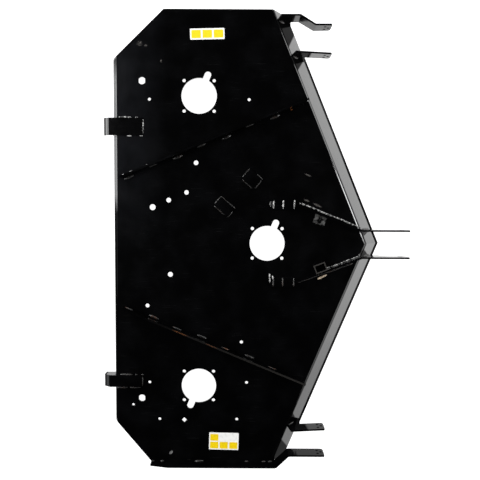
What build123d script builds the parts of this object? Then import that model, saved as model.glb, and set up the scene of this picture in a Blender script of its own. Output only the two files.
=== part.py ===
from build123d import *
import os
from math import atan2, cos, degrees, hypot, radians, sin, tan

# Bare deck of a three-spindle trailed mower, in millimetres. The origin is the axis of the centre
# spindle hole on the deck's top face; +X is forward, +Y the machine's left and +Z up.

# Stock
SHEET = 5.0  # deck, skirts and folded brackets
FOLD_INSIDE = 8.0  # inside radius of a fold
BAR = 6.0  # thickness of the flat bars on edge
BAR_BEND = 12.0  # radius of a bend at the middle of a bar
BAR_HEIGHT = 50.0  # flat bar of the lugs and the drawbar
BAR_RISE = 37.0  # its top edge above the deck
END_TOP_RADIUS = 4.0  # corners of a bar's free end
END_FOOT_RADIUS = 10.0

# Plan of the deck, measured from the centre spindle
DECK_REAR = 517.0
DECK_LEFT = 772.5
DECK_RIGHT = 756.0
NOSE = 334.0
SWEEP = 22.5  # degrees that each front edge runs back
LEFT_CORNER_X, LEFT_CORNER_Y = 169.5, 165.5
RIGHT_CORNER_X, RIGHT_CORNER_Y = 123.0, 146.0

# Skirts and front aprons
SKIRT_DEPTH = 130.0
APRON_TURN = 54.0  # degrees that each apron is folded down
APRON_REACH = 47.0  # each apron runs this far out from its fold
APRON_CLIP = 23.0  # length that the clipped end takes off an apron's outer edge
FRONT_SKIRT_DEPTH = 45.0
FRONT_SKIRT_PAST = 34.0  # each front skirt runs on under the inner lug by this much

# Spindle stations
SPINDLE_BACK, SPINDLE_SIDE = 230.0, 490.0
SPINDLE_BORE = 118.0
SPINDLE_BOLTS, SPINDLE_BOLT_HOLE = 100.0, 11.0
KEY_X, KEY_Y, KEY_WIDTH = 29.0, 69.0, 22.0

# Holes around a side spindle, measured forward and outward from its axis
GUARD_OUT, GUARD_LENGTH, GUARD_HOLE = -11.5, 332.0, 10.0
LEFT_GUARD_X, RIGHT_GUARD_X = 0.5, -2.5
SIDE_GUARD_X, SIDE_GUARD_OUT, SIDE_GUARD_LENGTH = -2.0, 117.0, 265.0
FLATTED_HOLE, FLATTED_ACROSS = 24.0, 21.5
LEFT_FLATTED_X, LEFT_FLATTED_OUT = -190.0, 49.0
RIGHT_FLATTED_X, RIGHT_FLATTED_OUT = -195.0, 44.0
TURNED_HOLES = 45.0  # degrees that the square hole and the slot are turned
SQUARE_HOLE_X, SQUARE_HOLE_OUT, SQUARE_HOLE = -50.0, 120.0, 12.5
SLOT_X, SLOT_OUT, SLOT_LENGTH, SLOT_WIDTH = -96.0, 235.0, 15.0, 7.5

# Single holes in the deck top, measured from the centre spindle
ROUND_HOLES = [  # X, Y and diameter
    (-240.0, 269.0, 15.5),
    (-272.0, 170.0, 15.0),
    (-332.0, 144.0, 16.0),
    (-386.0, 120.0, 20.0),
    (-327.0, -107.0, 17.0),
    (-405.0, -214.0, 13.5),
    (-85.0, -338.0, 11.0),
    (-455.0, -557.0, 9.0),
]

# Lugs: two on each side, bored alike
LEFT_LUG_LENGTH, RIGHT_LUG_LENGTH = 126.0, 123.5  # from the front edge to the inner lug's end
LUG_GAP = 92.0  # between the middles of a pair
LUG_ROOT_SET, LUG_ROOT_SLANT = 5.0, 7.0  # the root stands this far in front of the fold, and leans
LUG_FOOT_LEAN = 4.0  # the foot's front edge leans back by this much
LEFT_LUG_INSET, LEFT_ROOT_INSET = 61.0, 31.0
LEFT_CRANK_FRONT, LEFT_CRANK_REAR = 54.0, 103.0  # behind the lug's end
LEFT_LUG_TAPER = 10.0  # the outer lug is this much higher at its root
RIGHT_LUG_INSET = 38.0
RIGHT_CRANK_START, RIGHT_CRANK_LENGTH = 12.0, 43.0  # in front of the deck's right corner
INNER_LUG_TOE = 3.0  # degrees
LUG_HOLE = 9.0
LUG_HOLE_PAIR, LUG_HOLE_PAIR_BACK, LUG_HOLE_FRONT_BACK = 22.0, 21.5, 10.0
SIDE_BAR_TAPER, SIDE_BAR_TAIL_RISE = 62.0, 23.0

# Hitch
HITCH_HALF_GAP = 45.0
HITCH_REACH = 138.0  # in front of the nose
HITCH_KINK_BACK = 2.0  # behind the front edge
HITCH_TAIL, HITCH_SPREAD = 221.0, 86.0
HITCH_TAIL_RISE = 12.0
HITCH_ROOT_DROP, HITCH_ROOT_FLAT, HITCH_ROOT_RISE = 45.0, 14.0, 30.0
HITCH_PIN, HITCH_PIN_BACK = 20.5, 25.0
FOOT_LENGTH, FOOT_WIDTH, FOOT_THICK, FOOT_GAP = 80.0, 34.0, 6.0, 2.0
POST_LENGTH, POST_WIDTH, POST_HEIGHT, POST_WALL = 40.0, 30.0, 35.0, 4.0
POST_BACK = 140.0  # along the tail, behind the kink
PAD_LENGTH, PAD_WIDTH, PAD_THICK, PAD_BACK = 40.0, 30.0, 6.0, 140.0

# Stiffeners, rear brackets and idler pads on the deck top
STIFFENER_HEIGHT, STIFFENER_ANGLE, STIFFENER_SIDE = 30.0, 22.5, 478.0
STIFFENER_FRONT_MARGIN, STIFFENER_REAR_MARGIN = 4.0, 28.0
BRACKET_OVERHANG, BRACKET_DROP = 18.0, 35.0
LIP_TURN = 36.0  # degrees that a bracket's lip is folded down
LEFT_BRACKET_Y, LEFT_BRACKET_WIDTH, LEFT_BRACKET_LAP, LEFT_BRACKET_LIP = 387.5, 58.0, 99.0, 13.0
RIGHT_BRACKET_Y, RIGHT_BRACKET_WIDTH, RIGHT_BRACKET_LAP, RIGHT_BRACKET_LIP = -474.0, 41.0, 93.0, 19.0
IDLER_PAD_THICK, IDLER_PAD_ANGLE = 8.0, -41.0
REAR_PAD_X, REAR_PAD_Y, REAR_PAD_LENGTH, REAR_PAD_WIDTH = -145.0, 122.0, 60.0, 37.0
FRONT_PAD_X, FRONT_PAD_Y, FRONT_PAD_LENGTH, FRONT_PAD_WIDTH = -53.0, 216.0, 53.0, 43.0

FOLD_OUTSIDE = FOLD_INSIDE + SHEET
SLOPE = tan(radians(SWEEP))
OUTWARD = Vector(cos(radians(SWEEP)), sin(radians(SWEEP)), 0)
ALONG = Vector(-sin(radians(SWEEP)), cos(radians(SWEEP)), 0)
FAR = DECK_LEFT + DECK_RIGHT
APRON_DROP = APRON_REACH * tan(radians(APRON_TURN))
APRON_X = APRON_REACH / cos(radians(SWEEP))
FRONT_X = (APRON_REACH + SHEET) / cos(radians(SWEEP))
BAR_FOOT = BAR_RISE - BAR_HEIGHT


def front_edge(y):
    """X of the sharp line of the front fold at a distance from the middle."""
    return NOSE - abs(y) * SLOPE


REAR_LEFT = (-DECK_REAR, DECK_LEFT - LEFT_CORNER_Y)
SIDE_LEFT = (LEFT_CORNER_X - DECK_REAR, DECK_LEFT)
FRONT_LEFT = (front_edge(DECK_LEFT), DECK_LEFT)
FRONT_RIGHT = (front_edge(DECK_RIGHT), -DECK_RIGHT)
SIDE_RIGHT = (RIGHT_CORNER_X - DECK_REAR, -DECK_RIGHT)
REAR_RIGHT = (-DECK_REAR, RIGHT_CORNER_Y - DECK_RIGHT)
LEFT_INNER_LUG = DECK_LEFT - LEFT_LUG_INSET - LUG_GAP
RIGHT_INNER_LUG = DECK_RIGHT - RIGHT_LUG_INSET - LUG_GAP
LEFT_LUG_END = front_edge(LEFT_INNER_LUG) + LEFT_LUG_LENGTH
RIGHT_LUG_END = front_edge(RIGHT_INNER_LUG) + RIGHT_LUG_LENGTH
HITCH_KINK = front_edge(HITCH_HALF_GAP) - HITCH_KINK_BACK
HITCH_END = NOSE + HITCH_REACH


def slab(points, low, high):
    """A flat solid of a plan outline between two heights."""
    return extrude(Pos(0, 0, low) * Polygon(*points, align=None), high - low, dir=(0, 0, 1))


def fold_section(outside, inside):
    """The section of a folded sheet between the lines of its two faces."""
    outer = FilletPolyline(*outside, radius=FOLD_OUTSIDE)
    inner = FilletPolyline(*inside, radius=FOLD_INSIDE)
    ends = [Line(outer @ 0, inner @ 0), Line(outer @ 1, inner @ 1)]
    return make_face([*outer.edges(), *inner.edges(), *ends])


def along_front(section, length):
    """A section, drawn outward from the left front fold, carried along it from the middle."""
    plane = Plane(origin=(NOSE, 0, 0), x_dir=OUTWARD, z_dir=-ALONG)
    strip = extrude(plane * Pos(0, 0, APRON_REACH) * section, -length - APRON_REACH)
    return strip & slab([(-FAR, 0), (FAR, 0), (FAR, FAR), (-FAR, FAR)], -FAR, FAR)


def both_sides(left):
    """A left half with its mirror image."""
    return left + mirror(left, Plane.XZ)


def edge_strip(start, end):
    """A skirt's strip inside the straight edge that runs from start to end, the deck on its right."""
    length = hypot(end[0] - start[0], end[1] - start[1])
    turn = degrees(atan2(end[1] - start[1], end[0] - start[0]))
    strip = Pos(0, -SHEET) * Rectangle(length + 4 * SHEET, SHEET, align=(Align.CENTER, Align.MIN))
    middle = Pos((start[0] + end[0]) / 2, (start[1] + end[1]) / 2, -SKIRT_DEPTH)
    return extrude(middle * Rot(0, 0, turn) * strip, SKIRT_DEPTH)


def bar_plan(points):
    """The plan of a bar on edge, bent along a line of points."""
    middle = [Vector(*point) for point in points]
    steps = [(b - a).normalized() for a, b in zip(middle, middle[1:])]
    normals = [Vector(-step.Y, step.X) for step in steps]
    turns = [1 if a.cross(b).Z > 0 else -1 for a, b in zip(steps, steps[1:])]
    corners = [(a + b) * (1 / (1 + a.dot(b))) for a, b in zip(normals, normals[1:])]
    reach = [normals[0], *corners, normals[-1]]
    faces = []
    for side in (BAR / 2, -BAR / 2):
        line = [point + offset * side for point, offset in zip(middle, reach)]
        radii = [BAR_BEND - side * turn for turn in turns]
        faces.append(FilletPolyline(*line, radius=radii) if turns else Polyline(*line))
    ends = [Line(faces[0] @ 0, faces[1] @ 0), Line(faces[0] @ 1, faces[1] @ 1)]
    return make_face([*faces[0].edges(), *faces[1].edges(), *ends])


def bar_solid(points, profile):
    """A bent bar with the outline of its side view, its free end's corners rounded."""
    outline = Polygon(*profile, align=None)
    foot, top = outline.vertices().group_by(Axis.X)[-1].sort_by(Axis.Y)
    outline = fillet(foot, END_FOOT_RADIUS)
    top = outline.vertices().group_by(Axis.X)[-1].sort_by(Axis.Y)[-1]
    outline = fillet(top, END_TOP_RADIUS)
    height = max(z for x, z in profile)
    depth = min(z for x, z in profile)
    plan = extrude(Pos(0, 0, depth) * bar_plan(points), height - depth)
    return plan & extrude(Plane.XZ * outline, FAR, both=True)


def drill_across(solid, x, z, diameter):
    """Drills a hole along Y."""
    return solid - Pos(x, 0, z) * Rot(90, 0, 0) * Cylinder(diameter / 2, 2 * FAR)


def plan_limit():
    """The plan that the folded sheet keeps inside, both aprons clipped at their outer ends."""
    clip = (OUTWARD * APRON_REACH - ALONG * APRON_CLIP).normalized() * FAR
    left = Vector(*FRONT_LEFT) + clip
    right = Vector(*FRONT_RIGHT) + Vector(clip.X, -clip.Y)
    outline = [REAR_RIGHT, SIDE_RIGHT, FRONT_RIGHT, (right.X, right.Y), (FAR, 0)]
    outline += [(left.X, left.Y), FRONT_LEFT, SIDE_LEFT, REAR_LEFT]
    return slab(outline, -SKIRT_DEPTH, 0)


def flat_points():
    """The outline of the sheet's flat top, past the deck's sides, up to where its folds begin."""
    rear = 2 * FOLD_OUTSIDE - DECK_REAR
    nose = NOSE - FOLD_OUTSIDE / cos(radians(SWEEP))
    side = nose - FAR * SLOPE
    return [(rear, -FAR), (side, -FAR), (nose, 0), (side, FAR), (rear, FAR)]


def rear_skirt():
    outside = [(-2 * FOLD_OUTSIDE, 0), (0, 0), (0, -SKIRT_DEPTH)]
    inside = [(-2 * FOLD_OUTSIDE, -SHEET), (-SHEET, -SHEET), (-SHEET, -SKIRT_DEPTH)]
    plane = Plane(origin=(-DECK_REAR, 0, 0), x_dir=(-1, 0, 0), z_dir=(0, 1, 0))
    return extrude(plane * fold_section(outside, inside), FAR, both=True)


def lip_corners(reach, turn):
    """The lower face's line at a fold, and the upper and lower corners of the lip's plumb outer edge."""
    drop = reach * tan(radians(turn))
    edge = SHEET / cos(radians(turn))
    return (-SHEET * tan(radians(turn / 2)), -SHEET), (reach, -drop), (reach, -drop - edge)


def lip_section(back, reach, turn):
    """A sheet that runs flat and is then folded down, its outer edge cut plumb."""
    line, upper, lower = lip_corners(reach, turn)
    return fold_section([(-back, 0), (0, 0), upper], [(-back, -SHEET), line, lower])


def apron():
    return along_front(lip_section(FOLD_OUTSIDE, APRON_REACH, APRON_TURN), FAR)


def side_skirt(start, end, beside=None):
    """A skirt plate on one edge, its upper rear corner rounded like the rear fold beside it."""
    rear_round = [(-DECK_REAR, -SKIRT_DEPTH), (FAR, -SKIRT_DEPTH), (FAR, 0), (-DECK_REAR, 0)]
    outline = Polygon(*rear_round, align=None)
    corner = outline.vertices().group_by(Axis.X)[0].sort_by(Axis.Y)[-1]
    rounded = extrude(Plane.XZ * fillet(corner, FOLD_OUTSIDE), FAR, both=True)
    outline = [REAR_RIGHT, SIDE_RIGHT, FRONT_RIGHT, (NOSE, 0), FRONT_LEFT, SIDE_LEFT, REAR_LEFT]
    skirt = edge_strip(start, end) & slab(outline, -SKIRT_DEPTH, 0) & rounded
    return skirt - beside if beside else skirt


def spindle_cut(key):
    """The bore of one spindle with its key and four bolt holes, about its own axis."""
    way = Vector(KEY_X, KEY_Y) * key
    turn = degrees(atan2(way.Y, way.X))
    run = Pos(way.X / 2, way.Y / 2) * Rot(0, 0, turn) * Rectangle(way.length, KEY_WIDTH)
    cut = Circle(SPINDLE_BORE / 2) + run + Pos(way.X, way.Y) * Circle(KEY_WIDTH / 2)
    bolts = GridLocations(SPINDLE_BOLTS, SPINDLE_BOLTS, 2, 2) * Circle(SPINDLE_BOLT_HOLE / 2)
    return cut + bolts


def beside_spindle(side, forward, outward):
    """A place measured from a side spindle's axis."""
    return Pos(forward - SPINDLE_BACK, side * (SPINDLE_SIDE + outward))


def deck_holes():
    cuts = spindle_cut(1)
    cuts += Pos(-SPINDLE_BACK, SPINDLE_SIDE) * spindle_cut(1)
    cuts += Pos(-SPINDLE_BACK, -SPINDLE_SIDE) * spindle_cut(-1)
    guard, side_guard = GridLocations(GUARD_LENGTH, 0, 2, 1), GridLocations(SIDE_GUARD_LENGTH, 0, 2, 1)
    guard_hole = Circle(GUARD_HOLE / 2)
    flatted = Circle(FLATTED_HOLE / 2) & Rectangle(FLATTED_ACROSS, FLATTED_HOLE)
    turned = Rot(0, 0, TURNED_HOLES)
    cuts += beside_spindle(1, LEFT_GUARD_X, GUARD_OUT) * guard * guard_hole
    cuts += beside_spindle(-1, RIGHT_GUARD_X, GUARD_OUT) * guard * guard_hole
    cuts += beside_spindle(-1, SIDE_GUARD_X, SIDE_GUARD_OUT) * side_guard * guard_hole
    cuts += beside_spindle(1, LEFT_FLATTED_X, LEFT_FLATTED_OUT) * flatted
    cuts += beside_spindle(-1, RIGHT_FLATTED_X, RIGHT_FLATTED_OUT) * flatted
    square = turned * Rectangle(SQUARE_HOLE, SQUARE_HOLE)
    cuts += beside_spindle(-1, SQUARE_HOLE_X, SQUARE_HOLE_OUT) * square
    cuts += beside_spindle(-1, SLOT_X, SLOT_OUT) * turned * SlotOverall(SLOT_LENGTH, SLOT_WIDTH)
    cuts += [Pos(x, y) * Circle(diameter / 2) for x, y, diameter in ROUND_HOLES]
    return extrude(Pos(0, 0, -SHEET) * cuts, SHEET)


def deck_plate(skirts):
    sheet = slab(flat_points(), -SHEET, 0) + rear_skirt() + both_sides(apron())
    sheet = sheet & plan_limit()
    for skirt in skirts:
        sheet -= skirt
    return sheet - deck_holes()


def front_skirt():
    """The left front skirt: it stands on the apron's outer edge, from the middle to the inner lug and on under it."""
    strip = Rectangle(SHEET, FRONT_SKIRT_DEPTH, align=(Align.MIN, Align.MAX))
    return along_front(Pos(APRON_REACH, -APRON_DROP) * strip, FAR)


def seat():
    """Everything under the top faces of the deck, the aprons and the front skirts."""
    turn = [(-FOLD_OUTSIDE, 0), (0, 0), (APRON_REACH, -APRON_DROP)]
    top = FilletPolyline(*turn, radius=FOLD_OUTSIDE)
    outer = APRON_REACH + SHEET
    rest = Polyline(
        (APRON_REACH, -APRON_DROP),
        (outer, -APRON_DROP),
        (outer, -SKIRT_DEPTH),
        (-FOLD_OUTSIDE, -SKIRT_DEPTH),
        (-FOLD_OUTSIDE, 0),
    )
    front = along_front(make_face([*top.edges(), *rest.edges()]), FAR)
    return (slab(flat_points(), -SKIRT_DEPTH, 0) + both_sides(front)) & plan_limit()


def lug(points, side, taper=0.0):
    """A bar on edge whose root is cut to the deck and its apron, bored at its free end."""
    end = points[-1][0]
    fold = front_edge(points[0][1])
    profile = [
        (fold + LUG_ROOT_SET, -APRON_DROP),
        (fold + APRON_X, -APRON_DROP),
        (fold + APRON_X - LUG_FOOT_LEAN, BAR_FOOT - taper),
        (end, BAR_FOOT),
        (end, BAR_RISE),
        (fold + LUG_ROOT_SET + LUG_ROOT_SLANT, BAR_RISE),
        (fold + LUG_ROOT_SET, 0),
    ]
    solid = bar_solid([(x, side * y) for x, y in points], profile)
    return lug_holes(solid - seat(), end)


def lug_holes(solid, end):
    middle = (BAR_RISE + BAR_FOOT) / 2
    for rise in (LUG_HOLE_PAIR / 2, -LUG_HOLE_PAIR / 2):
        solid = drill_across(solid, end - LUG_HOLE_PAIR_BACK, middle + rise, LUG_HOLE)
    return drill_across(solid, end - LUG_HOLE_FRONT_BACK, middle, LUG_HOLE)


def left_outer_lug():
    root, tip = DECK_LEFT - LEFT_ROOT_INSET, DECK_LEFT - LEFT_LUG_INSET
    crank = [(LEFT_LUG_END - LEFT_CRANK_REAR, root), (LEFT_LUG_END - LEFT_CRANK_FRONT, tip)]
    return lug([(front_edge(root), root), *crank, (LEFT_LUG_END, tip)], 1, LEFT_LUG_TAPER)


def inner_lug(tip, length, side):
    root = tip + length * tan(radians(INNER_LUG_TOE))
    return lug([(front_edge(root), root), (front_edge(tip) + length, tip)], side)


def right_side_bar():
    """The bar along the right edge: its tail tapers, and it is cranked inward to end in a lug."""
    tail, edge, tip = SIDE_RIGHT[0], DECK_RIGHT + BAR / 2, DECK_RIGHT - RIGHT_LUG_INSET
    crank = FRONT_RIGHT[0] + RIGHT_CRANK_START
    line = [(tail, -edge), (crank, -edge), (crank + RIGHT_CRANK_LENGTH, -tip), (RIGHT_LUG_END, -tip)]
    profile = [
        (tail, BAR_FOOT),
        (RIGHT_LUG_END, BAR_FOOT),
        (RIGHT_LUG_END, BAR_RISE),
        (tail + SIDE_BAR_TAPER, BAR_RISE),
        (tail, SIDE_BAR_TAIL_RISE),
    ]
    return lug_holes(bar_solid(line, profile) - seat(), RIGHT_LUG_END)


def hitch_plate(side):
    tail = HITCH_KINK - HITCH_TAIL
    foot_front = front_edge(HITCH_HALF_GAP + BAR) + FRONT_X
    line = [(tail, HITCH_HALF_GAP + HITCH_SPREAD), (HITCH_KINK, HITCH_HALF_GAP)]
    path = [(x, side * y) for x, y in [*line, (HITCH_END, HITCH_HALF_GAP)]]
    profile = [
        (tail - BAR, -HITCH_ROOT_DROP),
        (foot_front + HITCH_ROOT_FLAT, -HITCH_ROOT_DROP),
        (foot_front + HITCH_ROOT_FLAT + HITCH_ROOT_RISE, BAR_FOOT),
        (HITCH_END, BAR_FOOT),
        (HITCH_END, BAR_RISE),
        (HITCH_KINK, BAR_RISE),
        (tail - BAR, HITCH_TAIL_RISE),
    ]
    plate = bar_solid(path, profile) - seat()
    return drill_across(plate, HITCH_END - HITCH_PIN_BACK, (BAR_RISE + BAR_FOOT) / 2, HITCH_PIN)


def beside_tail(solid, back, width, side):
    """Sets a solid against the inner face of a hitch plate's tail, behind the kink."""
    run = hypot(HITCH_TAIL, HITCH_SPREAD)
    way = Vector(-HITCH_TAIL, side * HITCH_SPREAD) * (1 / run)
    inward = Vector(-HITCH_SPREAD, -side * HITCH_TAIL) * (1 / run)
    place = Vector(HITCH_KINK, side * HITCH_HALF_GAP) + way * back + inward * ((BAR + width) / 2)
    turn = degrees(atan2(-way.Y, -way.X))
    return Pos(place.X, place.Y, 0) * Rot(0, 0, turn) * solid


def hitch_post_right():
    outside = Rectangle(POST_LENGTH, POST_WIDTH)
    inside = Rectangle(POST_LENGTH - 2 * POST_WALL, POST_WIDTH - 2 * POST_WALL)
    return beside_tail(extrude(outside - inside, POST_HEIGHT), POST_BACK, POST_WIDTH, -1)


def hitch_pad_left():
    pad = extrude(Rectangle(PAD_LENGTH, PAD_WIDTH), PAD_THICK)
    return beside_tail(pad, PAD_BACK, PAD_WIDTH, 1)


def hitch_foot(side):
    pad = extrude(Rectangle(FOOT_LENGTH, FOOT_WIDTH, align=(Align.MAX, Align.CENTER)), FOOT_THICK)
    front = HITCH_KINK - HITCH_TAIL - FOOT_GAP
    return Pos(front, side * (HITCH_HALF_GAP + HITCH_SPREAD), 0) * pad


def stiffener(side):
    """A flat bar on edge, from the front edge back to the rear edge, slanting inward."""
    way = Vector(cos(radians(STIFFENER_ANGLE)), sin(radians(STIFFENER_ANGLE)))
    front = Vector(front_edge(STIFFENER_SIDE), STIFFENER_SIDE) - way * STIFFENER_FRONT_MARGIN
    back = (front.X + DECK_REAR - STIFFENER_REAR_MARGIN) / way.X
    rear = front - way * back
    plan = bar_plan([(rear.X, side * rear.Y), (front.X, side * front.Y)])
    return extrude(plan, STIFFENER_HEIGHT)


def rear_bracket(y, width, lap, lip):
    """A folded bracket: a top leaf on the deck, a lip folded down behind it and a leaf at one side."""
    rear = -DECK_REAR - BRACKET_OVERHANG
    plane = Plane(origin=(rear, y, SHEET), x_dir=(-1, 0, 0), z_dir=(0, 1, 0))
    leaf = extrude(plane * lip_section(BRACKET_OVERHANG + lap, lip, LIP_TURN), width / 2, both=True)
    line, upper, lower = lip_corners(lip, LIP_TURN)
    side = [
        (-DECK_REAR, 0),
        (-DECK_REAR, -BRACKET_DROP),
        (rear - lip, -BRACKET_DROP),
        (rear - lip, SHEET + lower[1]),
        (rear - line[0], SHEET + line[1]),
    ]
    side_leaf = extrude(Plane.XZ * Polygon(*side, align=None), SHEET, dir=(0, -1, 0))
    return leaf + Pos(0, y + width / 2, 0) * side_leaf


def idler_pad(x, y, length, width):
    pad = extrude(Rectangle(length, width), IDLER_PAD_THICK)
    return Pos(x, y, 0) * Rot(0, 0, IDLER_PAD_ANGLE) * pad


left_skirt = side_skirt(SIDE_LEFT, FRONT_LEFT)
left_corner_skirt = side_skirt(REAR_LEFT, SIDE_LEFT, left_skirt)
right_skirt = side_skirt(FRONT_RIGHT, SIDE_RIGHT)
right_corner_skirt = side_skirt(SIDE_RIGHT, REAR_RIGHT, right_skirt)
skirts = [left_skirt, left_corner_skirt, right_skirt, right_corner_skirt]
left_end, right_end = LEFT_INNER_LUG + FRONT_SKIRT_PAST, RIGHT_INNER_LUG + FRONT_SKIRT_PAST
left_front = slab([(-FAR, 0), (FAR, 0), (FAR, left_end), (-FAR, left_end)], -FAR, FAR)
right_front = slab([(-FAR, 0), (-FAR, -right_end), (FAR, -right_end), (FAR, 0)], -FAR, FAR)

pieces = {
    "deck_plate": deck_plate(skirts),
    "left_skirt": left_skirt,
    "left_corner_skirt": left_corner_skirt,
    "right_corner_skirt": right_corner_skirt,
    "right_skirt": right_skirt,
    "front_skirt_left": front_skirt() & left_front,
    "front_skirt_right": mirror(front_skirt(), Plane.XZ) & right_front,
    "left_outer_lug": left_outer_lug(),
    "left_inner_lug": inner_lug(LEFT_INNER_LUG, LEFT_LUG_LENGTH, 1),
    "right_inner_lug": inner_lug(RIGHT_INNER_LUG, RIGHT_LUG_LENGTH, -1),
    "right_side_bar": right_side_bar(),
    "hitch_plate_left": hitch_plate(1),
    "hitch_plate_right": hitch_plate(-1),
    "hitch_foot_left": hitch_foot(1),
    "hitch_foot_right": hitch_foot(-1),
    "hitch_post_right": hitch_post_right(),
    "hitch_pad_left": hitch_pad_left(),
    "stiffener_left": stiffener(1),
    "stiffener_right": stiffener(-1),
    "rear_bracket_left": rear_bracket(
        LEFT_BRACKET_Y, LEFT_BRACKET_WIDTH, LEFT_BRACKET_LAP, LEFT_BRACKET_LIP
    ),
    "rear_bracket_right": rear_bracket(
        RIGHT_BRACKET_Y, RIGHT_BRACKET_WIDTH, RIGHT_BRACKET_LAP, RIGHT_BRACKET_LIP
    ),
    "idler_pad_rear": idler_pad(REAR_PAD_X, REAR_PAD_Y, REAR_PAD_LENGTH, REAR_PAD_WIDTH),
    "idler_pad_front": idler_pad(FRONT_PAD_X, FRONT_PAD_Y, FRONT_PAD_LENGTH, FRONT_PAD_WIDTH),
}

os.makedirs("parts", exist_ok=True)
for name, piece in pieces.items():
    export_step(piece, f"parts/{name}.step")
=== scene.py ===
from math import atan2, cos, pi, radians, sin, tan

import bmesh
import bpy
from mathutils import Matrix, Vector


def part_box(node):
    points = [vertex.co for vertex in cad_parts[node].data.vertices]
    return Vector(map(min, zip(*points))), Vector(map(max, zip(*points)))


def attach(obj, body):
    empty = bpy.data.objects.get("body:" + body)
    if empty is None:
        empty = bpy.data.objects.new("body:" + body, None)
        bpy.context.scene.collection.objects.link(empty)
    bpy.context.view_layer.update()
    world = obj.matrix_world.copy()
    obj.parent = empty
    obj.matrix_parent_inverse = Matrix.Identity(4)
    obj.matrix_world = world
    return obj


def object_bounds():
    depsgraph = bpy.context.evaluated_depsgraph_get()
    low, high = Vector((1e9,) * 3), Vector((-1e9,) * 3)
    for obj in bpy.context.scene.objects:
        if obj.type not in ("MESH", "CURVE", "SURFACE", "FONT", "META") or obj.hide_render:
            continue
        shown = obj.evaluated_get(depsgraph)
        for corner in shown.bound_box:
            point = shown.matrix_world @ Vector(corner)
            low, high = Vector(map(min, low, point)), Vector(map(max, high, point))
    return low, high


# The bare deck of a three-spindle trailed mower, welded from folded sheet and flat bar. The frame's
# origin is the axis of the centre spindle hole on the deck top; +X is forward, to the hitch.
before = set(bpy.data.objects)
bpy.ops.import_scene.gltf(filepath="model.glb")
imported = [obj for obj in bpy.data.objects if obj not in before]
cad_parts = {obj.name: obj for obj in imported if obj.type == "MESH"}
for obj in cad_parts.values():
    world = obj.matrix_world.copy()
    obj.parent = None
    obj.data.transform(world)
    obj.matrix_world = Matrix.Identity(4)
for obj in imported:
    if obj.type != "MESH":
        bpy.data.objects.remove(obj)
cad_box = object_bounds()

# Deck plate: one sheet of 5 mm steel, cut and drilled flat, its rear skirt and both front aprons folded
# down. It is sprayed gloss black: the coat has orange peel, a dusty haze, fine scratches and rubbed spots.
GLOSS_BLACK = (0.0007, 0.0007, 0.0008, 1.0)
DUST = (0.0028, 0.0029, 0.0034, 1.0)
SCRATCHED = (0.009, 0.009, 0.0095, 1.0)
# This rubbed grey serves the worn spots and also the painted highlight on the stiffeners' top edge.
RUBBED_AND_HIGHLIGHT = (0.16, 0.15, 0.14, 1.0)
RUST = (0.38, 0.13, 0.035, 1.0)
PAINT_ROUGHNESS = (0.09, 0.15)
ORANGE_PEEL_SIZE, ORANGE_PEEL_DEPTH = 0.0035, 0.00003
WARP_SIZE, WARP_DEPTH = 0.16, 0.0006
HAZE_SIZE = 0.09
DUSTY_HAZE, DULL_HAZE, SCRATCHED_HAZE = (0.42, 0.72), (0.30, 0.75), (0.45, 0.60)
SCRATCH_WIDTH, SCRATCH_DRAW = 0.0016, 45.0
SCRATCH_CUT, SCRATCH_MOST = (0.68, 0.74), 0.8
SPOT_RAGGED, SPOT_RIM = (0.42, 0.62), 0.6
DECK_RUBS = [  # place, half sizes and turn in degrees
    ((-0.427, 0.660), (0.011, 0.010), 15),
    ((-0.407, 0.6535), (0.006, 0.005), 0),
    ((-0.356, 0.604), (0.004, 0.006), 0),
    ((0.132, 0.145), (0.012, 0.0035), -22),
    ((0.168, 0.129), (0.018, 0.004), -26),
    ((0.135, 0.230), (0.014, 0.003), -22),
]
DECK_RUST = [((0.078, 0.447), (0.005, 0.003), 22)]
PAINTED_SHEEN = (0.0075, 0.0080, 0.0098, 1.0)  # painted sheen: a lamp's reflection drawn into the colour by the rear edge, fading out forward and to the right
SHEEN_X, SHEEN_Y = (-0.52, -0.34), (-0.05, 0.30)
CLOUD_SIZE, CLOUD_SPAN, CLOUD_LEAST = 0.05, (0.3, 0.7), 0.4
FULL_COAT, COAT_MOST = (-0.45, 0.05), 0.75  # the clear top coat thins out to the right, over this span of Y
COAT_ROUGHNESS = 0.08
WEATHERED, WEATHERED_GLOSS = (-0.65, -0.15), (0.3, 0.5)  # and the paint under it loses gloss further out
REAR_FOLD_X = (-0.504, -0.500)
REAR_SHINE = [(0.10, 0.16), (0.62, 0.54)]  # the rear fold is dull outside this stretch of Y
REAR_DULLED = 0.45  # and by this share within it
LUG_REFLECTION_PATCHES = [  # painted dark reflections beside the lugs: two points of the patch's edge, the lug's Y, and which way the patch lies
    ((0.0677, 0.6477), (0.0938, 0.7111), 0.742, 1),
    ((0.1013, 0.5774), (0.1262, 0.6239), 0.628, 1),
    ((0.0975, -0.5866), (0.1176, -0.6373), -0.634, -1),
    ((0.0620, -0.6855), (0.0801, -0.7218), -0.762, -1),
]
PATCH_BLUR, PATCH_GLOSS = 0.004, 0.03
PATCH_FRONT, PATCH_HEIGHT = (-0.02, 0.0), (-0.004, -0.001)  # only the aprons carry these painted dark reflections


def new_finish(name):
    """A new material, with its tree, its shader and the place on the piece in metres."""
    material = bpy.data.materials.new(name)
    material.use_nodes = True
    tree = material.node_tree
    place = tree.nodes.new("ShaderNodeTexCoord").outputs["Object"]
    return material, tree, tree.nodes["Principled BSDF"], place


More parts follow.
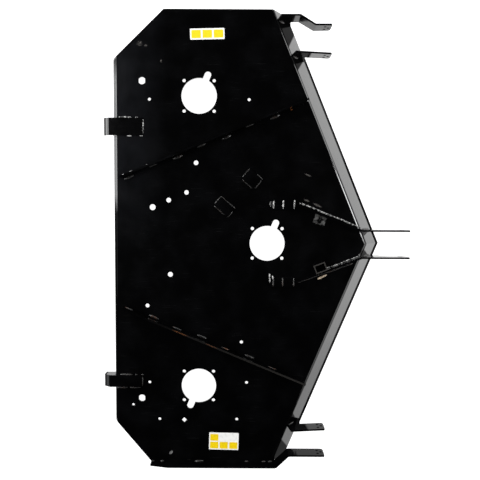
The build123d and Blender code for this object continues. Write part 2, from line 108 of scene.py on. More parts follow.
def grain(tree, place, size, detail, stretch=(1.0, 1.0, 1.0)):
    """A noise pattern with lumps of about that size, drawn out along an axis where stretch is small."""
    drawn = tree.nodes.new("ShaderNodeMapping")
    drawn.inputs["Scale"].default_value = stretch
    tree.links.new(place, drawn.inputs["Vector"])
    noise = tree.nodes.new("ShaderNodeTexNoise")
    noise.inputs["Scale"].default_value = 1.0 / size
    noise.inputs["Detail"].default_value = detail
    tree.links.new(drawn.outputs["Vector"], noise.inputs["Vector"])
    return noise.outputs["Fac"]


def span(tree, value, low, high, start, end):
    """The stretch of a pattern from low to high, turned into start to end."""
    node = tree.nodes.new("ShaderNodeMapRange")
    for socket, number in zip(("From Min", "From Max", "To Min", "To Max"), (low, high, start, end)):
        node.inputs[socket].default_value = number
    tree.links.new(value, node.inputs["Value"])
    return node.outputs["Result"]


def opposite(tree, value):
    """1 where a pattern is 0, and 0 where it is 1."""
    return span(tree, value, 0.0, 1.0, 1.0, 0.0)


def times(tree, first, second):
    """One pattern kept only where another one lets it show."""
    node = tree.nodes.new("ShaderNodeMath")
    node.operation = "MULTIPLY"
    tree.links.new(first, node.inputs[0])
    tree.links.new(second, node.inputs[1])
    return node.outputs["Value"]


def layer(tree, amount, under, over):
    """A colour laid over another one by an amount."""
    node = tree.nodes.new("ShaderNodeMix")
    node.data_type = "RGBA"
    factor, first, second = node.inputs[0], node.inputs[6], node.inputs[7]
    tree.links.new(amount, factor)
    second.default_value = over
    if isinstance(under, tuple):
        first.default_value = under
    else:
        tree.links.new(under, first)
    return node.outputs[2]


def relief(tree, height, depth, normal=None):
    """A surface that rises and falls by a depth in metres, over another relief if there is one."""
    node = tree.nodes.new("ShaderNodeBump")
    node.inputs["Distance"].default_value = depth
    tree.links.new(height, node.inputs["Height"])
    if normal:
        tree.links.new(normal, node.inputs["Normal"])
    return node.outputs["Normal"]


def rubbed_spot(tree, place, centre, half, turn):
    """How far the coat is rubbed through in a ragged spot about a place."""
    about = tree.nodes.new("ShaderNodeMapping")
    about.vector_type = "TEXTURE"
    about.inputs["Location"].default_value = (*centre, 0.0)
    about.inputs["Rotation"].default_value = (0.0, 0.0, radians(turn))
    about.inputs["Scale"].default_value = (*half, half[0])
    tree.links.new(place, about.inputs["Vector"])
    ball = tree.nodes.new("ShaderNodeTexGradient")
    ball.gradient_type = "SPHERICAL"
    tree.links.new(about.outputs["Vector"], ball.inputs["Vector"])
    ragged = span(tree, grain(tree, place, half[1] / 2, detail=3.0), *SPOT_RAGGED, 0.0, 1.0)
    return times(tree, span(tree, ball.outputs["Fac"], 0.0, SPOT_RIM, 0.0, 1.0), ragged)


def black_paint(name, dust, gloss, rubs=(), rust=()):
    """Gloss black spray paint over steel, with more or less dust in it and spots where it is worn."""
    material, tree, shader, place = new_finish(name)
    haze = grain(tree, place, HAZE_SIZE, detail=5.0)
    colour = layer(tree, span(tree, haze, *DUSTY_HAZE, 0.0, dust), GLOSS_BLACK, DUST)
    drawn = grain(tree, place, SCRATCH_WIDTH, detail=1.0, stretch=(1.0 / SCRATCH_DRAW, 1.0, 1.0))
    hazy = span(tree, haze, *SCRATCHED_HAZE, 0.0, SCRATCH_MOST)
    scratches = times(tree, span(tree, drawn, *SCRATCH_CUT, 0.0, 1.0), hazy)
    colour = layer(tree, scratches, colour, SCRATCHED)
    for spots, shade in ((rubs, RUBBED_AND_HIGHLIGHT), (rust, RUST)):
        for spot in spots:
            colour = layer(tree, rubbed_spot(tree, place, *spot), colour, shade)
    tree.links.new(colour, shader.inputs["Base Color"])
    tree.links.new(span(tree, haze, *DULL_HAZE, *PAINT_ROUGHNESS), shader.inputs["Roughness"])
    peel = relief(tree, grain(tree, place, ORANGE_PEEL_SIZE, detail=1.0), ORANGE_PEEL_DEPTH)
    warp = relief(tree, grain(tree, place, WARP_SIZE, detail=1.0), WARP_DEPTH, peel)
    tree.links.new(warp, shader.inputs["Normal"])
    shader.inputs["Specular IOR Level"].default_value = gloss
    return material


def coordinates(tree):
    """The place on a painted piece, forward, across and up."""
    split = tree.nodes.new("ShaderNodeSeparateXYZ")
    tree.links.new(tree.nodes["Texture Coordinate"].outputs["Object"], split.inputs["Vector"])
    return tuple(split.outputs[axis] for axis in "XYZ")


def overlay(material, amount, colour):
    """Lays one more colour by an amount over the paint that a piece has."""
    tree = material.node_tree
    paint = tree.nodes["Principled BSDF"].inputs["Base Color"]
    tree.links.new(layer(tree, amount, paint.links[0].from_socket, colour), paint)


def ramp_across(tree, place, point, turn, width):
    """Rises from 0 to 1 over a width across a line through a point; turn is the way it rises."""
    about = tree.nodes.new("ShaderNodeMapping")
    about.vector_type = "TEXTURE"
    about.inputs["Location"].default_value = (*point, 0.0)
    about.inputs["Rotation"].default_value = (0.0, 0.0, turn)
    about.inputs["Scale"].default_value = (width, 1.0, 1.0)
    tree.links.new(place, about.inputs["Vector"])
    slope = tree.nodes.new("ShaderNodeTexGradient")
    tree.links.new(about.outputs["Vector"], slope.inputs["Vector"])
    return slope.outputs["Fac"]


def beside_patch(tree, place, inner, outer, lug, side):
    """1 off the patch and 0 on a patch of painted dark reflection beside a lug, between the lug and a
    slanting edge on the apron.
    """
    edge = Vector(outer) - Vector(inner)
    toward = atan2(edge.x * side, -edge.y * side)
    near = ramp_across(tree, place, inner, toward, PATCH_BLUR)
    past = ramp_across(tree, place, (0.0, lug), -side * pi / 2, PATCH_BLUR)
    return opposite(tree, times(tree, near, past))


def dress(material, *names):
    """Gives pieces of the frame their finish."""
    for name in names:
        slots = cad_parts[name].data.materials
        slots.clear()
        slots.append(material)


deck_paint = black_paint("deck_paint", dust=0.5, gloss=0.5, rubs=DECK_RUBS, rust=DECK_RUST)
tree = deck_paint.node_tree
shader = tree.nodes["Principled BSDF"]
place = tree.nodes["Texture Coordinate"].outputs["Object"]
forward, across, height = coordinates(tree)
# A painted sheen by the rear edge, broken into clouds, laid over the deck's colour.
sheen_reach = times(tree, span(tree, forward, *SHEEN_X, 1.0, 0.0), span(tree, across, *SHEEN_Y, 0.0, 1.0))
clouds = span(tree, grain(tree, place, CLOUD_SIZE, detail=4.0), *CLOUD_SPAN, CLOUD_LEAST, 1.0)
overlay(deck_paint, times(tree, sheen_reach, clouds), PAINTED_SHEEN)
# Painted dark reflections: beside each lug the aprons lose their gloss and coat, so they show black where
# the lugs would be mirrored.
off_patches = None
for patch in LUG_REFLECTION_PATCHES:
    beside = beside_patch(tree, place, *patch)
    off_patches = times(tree, off_patches, beside) if off_patches else beside
apron = span(tree, height, *PATCH_HEIGHT, 1.0, 0.0)
apron = times(tree, span(tree, forward, *PATCH_FRONT, 0.0, 1.0), apron)
unmarked = opposite(tree, times(tree, opposite(tree, off_patches), apron))
shine = times(tree, *(span(tree, across, *ends, 0.0, 1.0) for ends in REAR_SHINE))
dulled = span(tree, shine, 0.0, 1.0, 1.0, REAR_DULLED)
dulled = times(tree, span(tree, forward, *REAR_FOLD_X, 1.0, 0.0), dulled)
unmarked = times(tree, unmarked, opposite(tree, dulled))
coat = span(tree, across, *FULL_COAT, 0.0, COAT_MOST)
tree.links.new(times(tree, coat, unmarked), shader.inputs["Coat Weight"])
gloss = span(tree, across, *WEATHERED, *WEATHERED_GLOSS)
gloss = times(tree, span(tree, unmarked, 0.0, 1.0, PATCH_GLOSS, 1.0), gloss)
tree.links.new(gloss, shader.inputs["Specular IOR Level"])
shader.inputs["Coat Roughness"].default_value = COAT_ROUGHNESS
dress(deck_paint, "deck_plate")

# Skirts: flat strips of the same sheet, welded along the sides, the rear corners and the outer edges of
# the aprons. Beads close their corners outside and stitch them to the deck from below.
SHEET = 0.005
STITCH, STITCH_PITCH, STITCH_START = 0.045, 0.150, 0.06
CORNER_LEG, CORNER_LAP, CORNER_SET = 0.008, 0.004, 0.003
CORNER_FOOT, CORNER_TOP = 0.006, -0.016  # a corner's bead, above the skirts' foot and below the deck top
WELD_LEG, WELD_SIDES = 0.009, 10
WELD_RIPPLE, RIPPLE_RINGS, RIPPLE_RISE, RIPPLE_BOW = 0.0036, 3, 0.08, 0.7
WELD_RINGS_LEAST = 6
WELD_TIP = 0.45  # a bead starts and ends at this share of its leg
UNEVEN_SHARE, UNEVEN_RATE, UNEVEN_SHIFT = 0.12, 83, (311, 173)
DRIFT, DRIFT_RATE, DRIFT_SHIFT = 0.0006, 61, 500
WELD_BLACK = (0.006, 0.006, 0.006, 1.0)
WELD_SCALE = (0.060, 0.056, 0.050, 1.0)
CREST_SIZE, CREST_FADE, CREST_DULL = 0.006, 0.2, (0.35, 0.70)
WELD_RUST_SIZE, WELD_RUST_SPAN = 0.025, (0.5, 0.7)
WELD_PIT_SIZE, WELD_PIT_DEPTH = 0.0016, 0.0002
WELD_ROUGHNESS, WELD_COAT, WELD_COAT_ROUGHNESS = (0.2, 0.5), 0.2, 0.15


def weld_paint(name, scale, rust, crest=WELD_SCALE, bare=0.42):
    """Paint over weld metal: thin on the crests, where grey scale and some rust show through."""
    material, tree, shader, place = new_finish(name)
    crests = grain(tree, place, CREST_SIZE, detail=4.0)
    colour = layer(tree, span(tree, crests, bare, bare + CREST_FADE, 0.0, scale), WELD_BLACK, crest)
    rusty = grain(tree, place, WELD_RUST_SIZE, detail=3.0)
    colour = layer(tree, span(tree, rusty, *WELD_RUST_SPAN, 0.0, rust), colour, RUST)
    tree.links.new(colour, shader.inputs["Base Color"])
    tree.links.new(span(tree, crests, *CREST_DULL, *WELD_ROUGHNESS), shader.inputs["Roughness"])
    pits = relief(tree, grain(tree, place, WELD_PIT_SIZE, detail=2.0), WELD_PIT_DEPTH)
    tree.links.new(pits, shader.inputs["Normal"])
    shader.inputs["Coat Weight"].default_value = WELD_COAT
    shader.inputs["Coat Roughness"].default_value = WELD_COAT_ROUGHNESS
    return material


def join(shape, part):
    """Adds a finished part to a shape."""
    scrap = bpy.data.meshes.new("scrap")
    part.to_mesh(scrap)
    part.free()
    shape.from_mesh(scrap)
    bpy.data.meshes.remove(scrap)


def lay_weld(beads, start, end, leg=WELD_LEG):
    """Lays one bead of weld metal along a line: rippled, a little uneven and drawn out at both ends."""
    start, end = Vector(start), Vector(end)
    run = end - start
    long = run.length
    bead = bmesh.new()
    bmesh.ops.create_cone(
        bead, cap_ends=True, segments=WELD_SIDES, radius1=leg / 2, radius2=leg / 2, depth=long
    )
    sides = [edge for edge in bead.edges if abs(edge.verts[0].co.z - edge.verts[1].co.z) > long / 2]
    rings = max(WELD_RINGS_LEAST, round(long / WELD_RIPPLE * RIPPLE_RINGS))
    bmesh.ops.subdivide_edges(bead, edges=sides, cuts=rings)
    for vertex in bead.verts:
        along = vertex.co.z + long / 2
        near = min(along, long - along) / leg
        drawn = min(1.0, WELD_TIP + (1.0 - WELD_TIP) * near)
        ripple = 1.0 + RIPPLE_RISE * sin(2 * pi * (along - RIPPLE_BOW * abs(vertex.co.x)) / WELD_RIPPLE)
        shift = start.x * UNEVEN_SHIFT[0] + start.y * UNEVEN_SHIFT[1]
        uneven = 1.0 + UNEVEN_SHARE * sin(along * UNEVEN_RATE + shift)
        vertex.co.x *= drawn * ripple * uneven
        vertex.co.y *= drawn * ripple * uneven
        vertex.co.x += DRIFT * sin(along * DRIFT_RATE + start.y * DRIFT_SHIFT)
    place = Matrix.Translation((start + end) / 2) @ run.to_track_quat("Z", "Y").to_matrix().to_4x4()
    bmesh.ops.transform(bead, matrix=place, verts=bead.verts)
    join(beads, bead)


def fix(name, shape, material):
    """Makes a piece of a finished shape and fixes it to the deck."""
    bmesh.ops.recalc_face_normals(shape, faces=shape.faces)
    mesh = bpy.data.meshes.new(name)
    shape.to_mesh(mesh)
    shape.free()
    mesh.materials.append(material)
    piece = bpy.data.objects.new(name, mesh)
    bpy.context.scene.collection.objects.link(piece)
    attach(piece, "root")
    return piece


def fix_welds(name, beads, material):
    """Makes a piece of a group of beads, smooth to look at."""
    piece = fix(name, beads, material)
    piece.data.shade_smooth()


skirts = ["left_skirt", "left_corner_skirt", "right_corner_skirt", "right_skirt"]
skirts += ["front_skirt_left", "front_skirt_right"]
dress(black_paint("skirt_paint", dust=0.7, gloss=0.5), *skirts)
plain_weld = weld_paint("painted_weld", scale=0.22, rust=0.03)

beads = bmesh.new()
skirt_foot = cad_box[0][2]
left_low, left_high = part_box("left_skirt")
right_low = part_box("right_skirt")[0]
deck_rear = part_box("deck_plate")[0][0]
corners = [
    (left_low[0], left_high[1]),
    (deck_rear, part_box("left_corner_skirt")[0][1] + CORNER_LAP),
    (right_low[0], right_low[1]),
    (deck_rear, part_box("right_corner_skirt")[1][1] - CORNER_LAP),
]
for x, y in corners:
    inset = Vector((x, y, 0.0)).normalized() * CORNER_SET
    foot = Vector((x - inset.x, y - inset.y, skirt_foot + CORNER_FOOT))
    lay_weld(beads, foot, (foot.x, foot.y, CORNER_TOP), CORNER_LEG)
for y in (left_high[1] - SHEET, right_low[1] + SHEET):
    x = left_low[0] + STITCH_START
    while x < left_high[0] - STITCH:
        lay_weld(beads, (x, y, -SHEET), (x + STITCH, y, -SHEET))
        x += STITCH_PITCH
fix_welds("skirt_welds", beads, plain_weld)

# Lugs and side bar: 50 by 6 mm flat bar on edge, cranked where it has to be, drilled at the free end and
# welded to the aprons on both sides; the long bar also carries stitches along the deck's right edge.
SWEEP, APRON_TURN = radians(22.5), radians(54.0)
NOSE_X = 0.334
BAR = 0.006
LUG_FOOT, LUG_ROOT, LUG_LEG = 0.024, 0.006, 0.008  # a lug's bead, from the fold forward
SIDE_BAR_SET, SIDE_BAR_LEG = 0.001, 0.007
SIDE_BAR_STITCHES = [  # the middle's X, and the length
    (-0.390, 0.010),
    (-0.356, 0.012),
    (-0.228, 0.030),
    (-0.065, 0.012),
    (-0.006, 0.012),
    (0.016, 0.014),
]
LUG_GLOSS = {"left_outer_lug": 0.26, "left_inner_lug": 0.6, "right_inner_lug": 0.12, "right_side_bar": 0.07}


def fold_x(y):
    """Forward place of the front fold at a distance from the middle."""
    return NOSE_X - abs(y) * tan(SWEEP)


def apron_place(y, forward):
    """A place on an apron's top face, that far forward of its fold."""
    return Vector((fold_x(y) + forward, y, -forward * cos(SWEEP) * tan(APRON_TURN)))


for name, gloss in LUG_GLOSS.items():
    dress(black_paint(name + "_paint", dust=0.5, gloss=gloss), name)
beads = bmesh.new()
for name in ("left_outer_lug", "left_inner_lug", "right_inner_lug"):
    low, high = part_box(name)
    outer = max(abs(low[1]), abs(high[1])) - BAR / 2
    side = 1 if high[1] > 0 else -1
    for face in (BAR / 2, -BAR / 2):
        y = side * (outer + face)
        lay_weld(beads, apron_place(y, LUG_ROOT), apron_place(y, LUG_FOOT), LUG_LEG)
for x, length in SIDE_BAR_STITCHES:
    start = Vector((x - length / 2, right_low[1] + SIDE_BAR_SET, SIDE_BAR_SET))
    lay_weld(beads, start, start + Vector((length, 0.0, 0.0)), SIDE_BAR_LEG)
fix_welds("lug_welds", beads, plain_weld)

# Hitch: two cranked drawbar plates that stand on the deck and run out over the nose, each with a flat foot
# behind its tail; a stub of square tube and a pad stand beside the tails. All are welded down.
HITCH_HALF = 0.045
FOOT_THICK = 0.006
FOOT_BEADS, FOOT_BEAD_LEG = (0.021, 0.053, 0.0905), 0.0055  # each bead's X on a foot
FOOT_BEAD_RIGHT, FOOT_BEAD_LEFT = 0.003, 0.002  # what a bead leaves free at the foot's sides
PLATE_BEAD, PLATE_BEAD_LEG = ((0.109, 0.1365), (0.313, 0.0555)), 0.0055
PLATE_THIN_BEAD, PLATE_THIN_LEG = ((0.200, -0.0840), (0.311, -0.0412)), 0.0032
PLATE_BEAD_HEIGHT = 0.0015
PLATE_FAINT_BEAD, FAINT_LEG, FAINT_HEIGHT = ((0.104, -0.1315), (0.290, -0.0660)), 0.006, 0.001
APRON_BEAD, APRON_LEG = (0.008, 0.040), 0.008  # the plates' beads on the aprons, from the fold forward
FOOT_SPATTER = [
    ((0.0095, -0.102), (0.0095, -0.134)),
    ((0.0180, -0.108), (0.0220, -0.124)),
    ((0.0095, 0.124), (0.0100, 0.142)),
]
FOOT_SPATTER_LEG = 0.006
NOSE_SPATTER = [((0.3100, -0.0375), (0.3150, -0.0345)), ((0.3270, 0.0040), (0.3300, 0.0010))]
NOSE_SPATTER_LEG, NOSE_SPATTER_HEIGHT = 0.0045, 0.0005
PRIMED_BEAD, PRIMED_LEG = ((0.172, -0.1205), (0.203, -0.1045)), 0.0065  # a run that kept its pale primer
PRIMER, PRIMER_BARE = (0.46, 0.37, 0.27, 1.0), 0.2
BARE_STEEL = (0.50, 0.50, 0.49, 1.0)
POST_RIM, POST_SAWN = (0.0335, 0.0345), 0.2  # the tube's sawn end is rubbed a little
PAD_GREY = (0.085, 0.085, 0.083, 1.0)
PAD_PATCH_SIZE, PAD_PATCH_SPAN, PAD_PATCH_MOST = 0.011, (0.45, 0.60), 0.8
PAD_DULL, PAD_ROUGHNESS, PAD_DEPTH = (0.40, 0.65), (0.20, 0.55), 0.0012


def mottled_paint(name):
    """Runs of thin paint on a pad: black, with grey scale in patches."""
    material, tree, shader, place = new_finish(name)
    patches = grain(tree, place, PAD_PATCH_SIZE, detail=3.0)
    colour = layer(tree, span(tree, patches, *PAD_PATCH_SPAN, 0.0, PAD_PATCH_MOST), GLOSS_BLACK, PAD_GREY)
    tree.links.new(colour, shader.inputs["Base Color"])
    tree.links.new(span(tree, patches, *PAD_DULL, *PAD_ROUGHNESS), shader.inputs["Roughness"])
    tree.links.new(relief(tree, patches, PAD_DEPTH), shader.inputs["Normal"])
    return material


def lay_flat(beads, runs, height, leg):
    """Lays beads along runs that are given in plan, all at one height."""
    for start, end in runs:
        lay_weld(beads, (*start, height), (*end, height), leg)


dress(black_paint("hitch_paint", dust=0.4, gloss=0.12), "hitch_plate_left", "hitch_plate_right")
dress(black_paint("foot_paint", dust=0.6, gloss=0.5), "hitch_foot_left", "hitch_foot_right")
post_paint = black_paint("post_paint", dust=0.6, gloss=0.3)
height = coordinates(post_paint.node_tree)[2]
overlay(post_paint, span(post_paint.node_tree, height, *POST_RIM, 0.0, POST_SAWN), RUBBED_AND_HIGHLIGHT)
dress(post_paint, "hitch_post_right")
dress(mottled_paint("pad_scale"), "hitch_pad_left")
bright_weld = weld_paint("bright_weld", scale=1.0, rust=0.0, crest=BARE_STEEL)
primed_weld = weld_paint("primed_weld", scale=1.0, rust=0.0, crest=PRIMER, bare=PRIMER_BARE)
beads, faint_beads, primed_beads = bmesh.new(), bmesh.new(), bmesh.new()
lay_flat(beads, [PLATE_BEAD], PLATE_BEAD_HEIGHT, PLATE_BEAD_LEG)
lay_flat(beads, [PLATE_THIN_BEAD], PLATE_BEAD_HEIGHT, PLATE_THIN_LEG)
lay_flat(beads, FOOT_SPATTER, FOOT_THICK, FOOT_SPATTER_LEG)
lay_flat(beads, NOSE_SPATTER, NOSE_SPATTER_HEIGHT, NOSE_SPATTER_LEG)
lay_flat(faint_beads, [PLATE_FAINT_BEAD], FAINT_HEIGHT, FAINT_LEG)
lay_flat(primed_beads, [PRIMED_BEAD], FAINT_HEIGHT, PRIMED_LEG)
for side, foot, foot_beads in ((1, "hitch_foot_left", beads), (-1, "hitch_foot_right", faint_beads)):
    for face in (BAR / 2, -BAR / 2):
        y = side * HITCH_HALF + face
        lay_weld(faint_beads, *(apron_place(y, forward) for forward in APRON_BEAD), APRON_LEG)
    low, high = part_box(foot)
    ends = low[1] + FOOT_BEAD_RIGHT, high[1] - FOOT_BEAD_LEFT
    lay_flat(foot_beads, [[(x, y) for y in ends] for x in FOOT_BEADS], FOOT_THICK, FOOT_BEAD_LEG)
fix_welds("hitch_bright_welds", beads, bright_weld)
fix_welds("hitch_welds", faint_beads, plain_weld)
fix_welds("hitch_primed_weld", primed_beads, primed_weld)

# Stiffeners: flat bars on edge, welded across the deck top from each front edge back to the rear edge.
# They are stitched on both sides in turn, and the right one has rusted along its stitches.
STIFFENER_TURN = radians(22.5)
STIFFENER_REAR = 0.002  # from the corner of the bar's box to its rear end
STIFFENER_PITCH, STIFFENER_START, STIFFENER_STITCH = 0.088, 0.006, 0.034
STIFFENER_LEG, STIFFENER_BEAD_OUT = 0.0085, 0.001
STIFFENER_RUST = [
    ((-0.2895, -0.3017), (0.045, 0.0028), -22.5),
    ((-0.185, -0.345), (0.040, 0.0025), -22.5),
    ((-0.040, -0.405), (0.016, 0.0025), -22.5),
]
HIGHLIGHT_EDGE, HIGHLIGHT_Y, HIGHLIGHT_MOST = 0.0008, (-0.25, -0.45), 0.10  # a painted highlight along the top edge, stronger towards the right
LEFT_SPOTS = [
    ((-0.4885, 0.2255), (-0.4790, 0.2295)),
    ((-0.4650, 0.2360), (-0.4520, 0.2413)),
    ((-0.4095, 0.2590), (-0.4010, 0.2625)),
]
LEFT_SPOT_LEG, LEFT_SPOT_HEIGHT = 0.006, 0.002
stiffener_paint = black_paint("stiffener_paint", dust=0.7, gloss=0.5, rust=STIFFENER_RUST)
tree = stiffener_paint.node_tree
across, height = coordinates(tree)[1:]
stiffener_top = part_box("stiffener_right")[1][2]
# A painted highlight: the stiffeners' top edge is lightened as where it catches the light, more towards the
# right.
wear_and_highlight = span(tree, height, stiffener_top - HIGHLIGHT_EDGE, stiffener_top, 0.0, 1.0)
overlay(stiffener_paint, times(tree, wear_and_highlight, span(tree, across, *HIGHLIGHT_Y, 0.0, HIGHLIGHT_MOST)), RUBBED_AND_HIGHLIGHT)
dress(stiffener_paint, "stiffener_left", "stiffener_right")
rusty_weld = weld_paint("rusty_weld", scale=0.08, rust=0.25)
for side, name, welds in ((1, "stiffener_left", plain_weld), (-1, "stiffener_right", rusty_weld)):
    low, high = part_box(name)
    way = Vector((cos(STIFFENER_TURN), side * sin(STIFFENER_TURN), 0.0))
    left = Vector((-way.y, way.x, 0.0))
    corner = Vector((low[0], low[1] if side > 0 else high[1], 0.0))
    rear = corner - left * (side * BAR / 2) + way * STIFFENER_REAR
    length = (high[0] - low[0]) / way.x
    beads = bmesh.new()
    for number in range(int(length / STIFFENER_PITCH)):
        face = left * ((BAR / 2 + STIFFENER_BEAD_OUT) * (1 if number % 2 else -1))
        start = rear + face + way * (number * STIFFENER_PITCH + STIFFENER_START)
        lay_weld(beads, start, start + way * STIFFENER_STITCH, STIFFENER_LEG)
    fix_welds(name + "_welds", beads, welds)
beads = bmesh.new()
lay_flat(beads, LEFT_SPOTS, LEFT_SPOT_HEIGHT, LEFT_SPOT_LEG)
fix_welds("stiffener_bright_welds", beads, bright_weld)

# Rear brackets: folded from the deck's sheet, lapped on the deck and overhanging its rear edge, with a lip
# and one side leaf turned down. They are welded round the lap.
LEFT_BRACKET_BEADS = [
    ((-0.497, 0.418), (-0.456, 0.418)),
    ((-0.443, 0.4175), (-0.434, 0.4175)),
    ((-0.418, 0.411), (-0.414, 0.409)),
    ((-0.4175, 0.404), (-0.4175, 0.364)),
    ((-0.470, 0.3575), (-0.455, 0.3575)),
    ((-0.428, 0.3575), (-0.418, 0.3575)),
    ((-0.515, 0.3575), (-0.504, 0.3575)),
]
RIGHT_BRACKET_BEADS = [
    ((-0.500, -0.452), (-0.458, -0.453)),
    ((-0.448, -0.4525), (-0.440, -0.4525)),
    ((-0.426, -0.4525), (-0.418, -0.4525)),
    ((-0.4235, -0.460), (-0.4235, -0.492)),
    ((-0.514, -0.4955), (-0.474, -0.4955)),
    ((-0.466, -0.4955), (-0.428, -0.4955)),
]
BRACKET_BEAD_LEG, BRACKET_BEAD_HEIGHT = 0.006, 0.0015
BRACKET_GLOSS = {"rear_bracket_left": 0.45, "rear_bracket_right": 0.5}
SHEARED_EDGE, SHEARED_FADE, SHEARED_GLOSS = 0.0062, 0.0008, 0.01  # the lip's cut end is dull
for name, shine in BRACKET_GLOSS.items():
    bracket_paint = black_paint(name + "_paint", dust=0.6, gloss=shine)
    tree = bracket_paint.node_tree
    forward = coordinates(tree)[0]
    lip_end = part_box(name)[0][0] + SHEARED_EDGE
    gloss = span(tree, forward, lip_end, lip_end + SHEARED_FADE, SHEARED_GLOSS, shine)
    tree.links.new(gloss, tree.nodes["Principled BSDF"].inputs["Specular IOR Level"])
    dress(bracket_paint, name)
for name, runs, welds in (
    ("left_bracket_welds", LEFT_BRACKET_BEADS, bright_weld),
    ("right_bracket_welds", RIGHT_BRACKET_BEADS, plain_weld),
):
    beads = bmesh.new()
    lay_flat(beads, runs, BRACKET_BEAD_HEIGHT, BRACKET_BEAD_LEG)
    fix_welds(name, beads, welds)

# Idler pads: two flat blocks that a belt idler's pivots are bolted to, set at a slant on the deck top and
# welded along their edges.
PAD_TURN = radians(-41.0)
PAD_BEAD_LEG, PAD_BEAD_HEIGHT, PAD_BEAD_OUT = 0.0055, 0.002, 0.001
IDLER_PADS = [  # the pad's middle, its half sizes, and its beads from corner (-1, -1) to corner (1, 1)
    (
        (-0.145, 0.122),
        (0.0300, 0.0185),
        [((-1, 1), (1, 1)), ((1, 0.3), (1, -1)), ((-1, -0.6), (-1, 1)), ((-0.9, -1), (0.6, -1))],
    ),
    (
        (-0.053, 0.216),
        (0.0265, 0.0215),
        [((0.1, 1), (1, 1)), ((1, 0.8), (1, -0.8)), ((-1, -0.7), (-1, 0.9)), ((-0.8, -1), (0.8, -1))],
    ),
]
dress(black_paint("idler_pad_paint", dust=0.7, gloss=0.5), "idler_pad_rear", "idler_pad_front")
beads = bmesh.new()
for middle, half, runs in IDLER_PADS:
    place = Matrix.Translation((*middle, PAD_BEAD_HEIGHT)) @ Matrix.Rotation(PAD_TURN, 4, "Z")
    long_half, wide_half = (size + PAD_BEAD_OUT for size in half)
    for run in runs:
        start, end = (place @ Vector((u * long_half, v * wide_half, 0.0)) for u, v in run)
        lay_weld(beads, start, end, PAD_BEAD_LEG)
fix_welds("idler_pad_welds", beads, plain_weld)

# Blank labels: two rectangles of white film with plain yellow panels printed on them, stuck flat on the
# deck top near its two ends.
FILM, PRINT = 0.0003, 0.00008
FILM_CORNER, CORNER_STEPS = 0.002, 4
FILM_WHITE, FILM_GREY = (0.88, 0.88, 0.86, 1.0), (0.74, 0.74, 0.73, 1.0)
PANEL_YELLOW, PANEL_OCHRE = (0.88, 0.63, 0.0, 1.0), (0.80, 0.55, 0.0, 1.0)
MARK_SIZE, MARK_SPAN, MARK_DULL = 0.012, (0.50, 0.75), (0.3, 0.7)
CREASE_SIZE, CREASE_DEPTH = 0.004, 0.00005
FILM_ROUGHNESS = (0.35, 0.50)
LEFT_PANEL, RIGHT_PANEL = (0.0155, 0.0130), (0.0140, 0.0115)  # half sizes
LABELS = {  # place, turn in degrees, the film's half sizes, a panel's half sizes, and the panels' places
    "left_label": (
        (-0.2031, 0.6921),
        1.5,
        (0.0570, 0.0180),
        LEFT_PANEL,
        [(-0.037, 0.0), (0.0, 0.0), (0.037, 0.0)],
    ),
    "right_label": (
        (-0.1437, -0.6845),
        -1.3,
        (0.0508, 0.0300),
        RIGHT_PANEL,
        [(-0.033, -0.0145), (0.0, -0.0145), (0.033, -0.0145), (-0.033, 0.0125)],
    ),
}


def printed_film(name, unmarked, wear_and_highlight):
    """Plain film or print, with faint creases and handling marks."""
    material, tree, shader, place = new_finish(name)
    marks = grain(tree, place, MARK_SIZE, detail=4.0)
    colour = layer(tree, span(tree, marks, *MARK_SPAN, 0.0, 1.0), unmarked, wear_and_highlight)
    tree.links.new(colour, shader.inputs["Base Color"])
    tree.links.new(span(tree, marks, *MARK_DULL, *FILM_ROUGHNESS), shader.inputs["Roughness"])
    creases = relief(tree, grain(tree, place, CREASE_SIZE, detail=2.0), CREASE_DEPTH)
    tree.links.new(creases, shader.inputs["Normal"])
    return material


def add_panel(shape, place, half, low, high):
    """Adds a thin rectangle with rounded corners, between two heights."""
    panel = bmesh.new()
    bmesh.ops.create_grid(panel, x_segments=1, y_segments=1, size=1.0)
    bmesh.ops.scale(panel, vec=(*half, 1.0), verts=panel.verts)
    bmesh.ops.bevel(
        panel,
        geom=panel.verts[:],
        offset=FILM_CORNER,
        affect="VERTICES",
        segments=CORNER_STEPS,
        profile=0.5,
        material=-1,
    )
    raised = bmesh.ops.extrude_face_region(panel, geom=panel.faces[:], use_keep_orig=True)["geom"]
    top = [part for part in raised if isinstance(part, bmesh.types.BMVert)]
    bmesh.ops.translate(panel, vec=(0.0, 0.0, high - low), verts=top)
    bmesh.ops.transform(panel, matrix=place @ Matrix.Translation((0.0, 0.0, low)), verts=panel.verts)
    join(shape, panel)


white_film = printed_film("white_film", FILM_WHITE, FILM_GREY)
yellow_print = printed_film("yellow_print", PANEL_YELLOW, PANEL_OCHRE)
for name, (middle, turn, film_half, panel_half, panels) in LABELS.items():
    place = Matrix.Translation((*middle, 0.0)) @ Matrix.Rotation(radians(turn), 4, "Z")
    film, prints = bmesh.new(), bmesh.new()
    add_panel(film, place, film_half, 0.0, FILM)
    fix(name + "_film", film, white_film)
    for panel in panels:
        add_panel(prints, place @ Matrix.Translation((*panel, 0.0)), panel_half, FILM, FILM + PRINT)
    fix(name + "_print", prints, yellow_print)

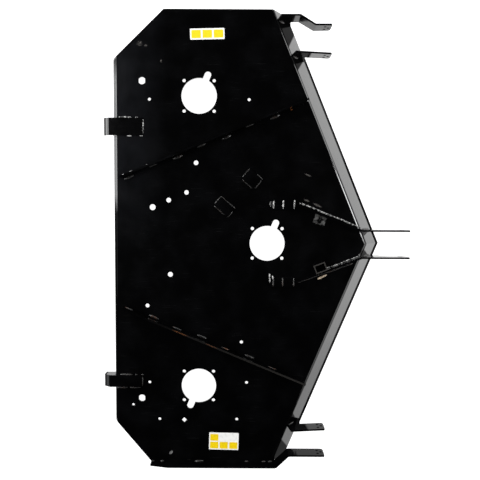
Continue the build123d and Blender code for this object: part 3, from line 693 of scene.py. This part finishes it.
# Studio: a white table lit from within, so that it shows white through the holes, a soft dome that is dark
# overhead, softboxes high behind, on the left and low behind, and three in front that draw the folds.
TABLE_HALF, TABLE_GAP = 40.0, 0.0003
TABLE_WHITE, TABLE_ROUGHNESS = (0.35, 0.35, 0.35, 1.0), 0.9
GLOW_WHITE, TABLE_GLOW = (1.0, 1.0, 1.0, 1.0), 1.05
DOME_TINT = (0.97, 0.985, 1.0, 1.0)
DOME_LOW, DOME_HIGH, DOME_RISE = 1.0, 0.004, 0.45
SOFTBOXES = {  # place, what it faces, width, height and radiance
    "high_softbox": ((-2.3, 0.5, 2.6), (-0.1, 0.1, 0.0), 2.4, 1.3, 9.5),
    "left_softbox": ((-0.1, 3.0, 1.7), (-0.1, 0.2, 0.0), 2.6, 1.5, 3.0),
    "rear_left_softbox": ((-2.9, 0.76, 0.75), (-0.5, 0.36, 0.0), 1.2, 1.7, 6.5),
    "front_left_softbox": ((1.71, 0.52, 2.12), (0.27, 0.15, 0.0), 0.6, 1.0, 12.0),
    "left_fill": ((2.2, 1.75, 1.5), (0.15, 0.50, 0.0), 1.3, 1.5, 3.5),
    "right_fill": ((2.2, -1.2, 1.5), (0.15, -0.50, 0.0), 1.7, 1.5, 2.0),
}
table_top = bmesh.new()
bmesh.ops.create_grid(table_top, x_segments=1, y_segments=1, size=TABLE_HALF)
bmesh.ops.translate(table_top, vec=(0.0, 0.0, skirt_foot - TABLE_GAP), verts=table_top.verts)
table_mesh = bpy.data.meshes.new("table")
table_top.to_mesh(table_mesh)
table_top.free()
table_finish, tree, shader, place = new_finish("table_white")
shader.inputs["Base Color"].default_value = TABLE_WHITE
shader.inputs["Roughness"].default_value = TABLE_ROUGHNESS
shader.inputs["Emission Color"].default_value = GLOW_WHITE
shader.inputs["Emission Strength"].default_value = TABLE_GLOW
table_mesh.materials.append(table_finish)
table = bpy.data.objects.new("table", table_mesh)
bpy.context.scene.collection.objects.link(table)

dome = bpy.data.worlds.new("dome")
dome.use_nodes = True
tree = dome.node_tree
toward = tree.nodes.new("ShaderNodeTexCoord").outputs["Generated"]
split = tree.nodes.new("ShaderNodeSeparateXYZ")
tree.links.new(toward, split.inputs["Vector"])
glow = span(tree, split.outputs["Z"], 0.0, DOME_RISE, DOME_LOW, DOME_HIGH)
tree.links.new(glow, tree.nodes["Background"].inputs["Strength"])
tree.nodes["Background"].inputs["Color"].default_value = DOME_TINT
bpy.context.scene.world = dome

for name, (stand, aim, width, height, radiance) in SOFTBOXES.items():
    lamp = bpy.data.lights.new(name, "AREA")
    lamp.shape = "RECTANGLE"
    lamp.size, lamp.size_y = width, height
    lamp.energy = radiance * pi * width * height
    softbox = bpy.data.objects.new(name, lamp)
    softbox.location = stand
    softbox.rotation_euler = (Vector(aim) - Vector(stand)).to_track_quat("-Z", "Y").to_euler()
    softbox.visible_camera = False
    bpy.context.scene.collection.objects.link(softbox)

# Camera: it stands almost straight over the deck, as far off as the photograph was taken from.
# The shift of half a pixel lines the render up with the photograph.
CAMERA_STAND = (-0.08987, 0.10771, 1.75254)
CAMERA_TILT, CAMERA_TURN = radians(-3.217), radians(0.304)
FOCAL_LENGTH, SENSOR = 39.0, 36.0
PICTURE_WIDTH = 480
HALF_PIXEL = 0.5 / PICTURE_WIDTH
lens = bpy.data.cameras.new("camera")
lens.lens, lens.sensor_width = FOCAL_LENGTH, SENSOR
lens.shift_x, lens.shift_y = -HALF_PIXEL, HALF_PIXEL
camera = bpy.data.objects.new("camera", lens)
aim = Matrix.Rotation(CAMERA_TILT, 4, "X") @ Matrix.Rotation(CAMERA_TURN, 4, "Z")
camera.matrix_world = Matrix.Translation(CAMERA_STAND) @ aim
bpy.context.scene.collection.objects.link(camera)
bpy.context.scene.camera = camera
bpy.context.scene.view_settings.view_transform = "Standard"
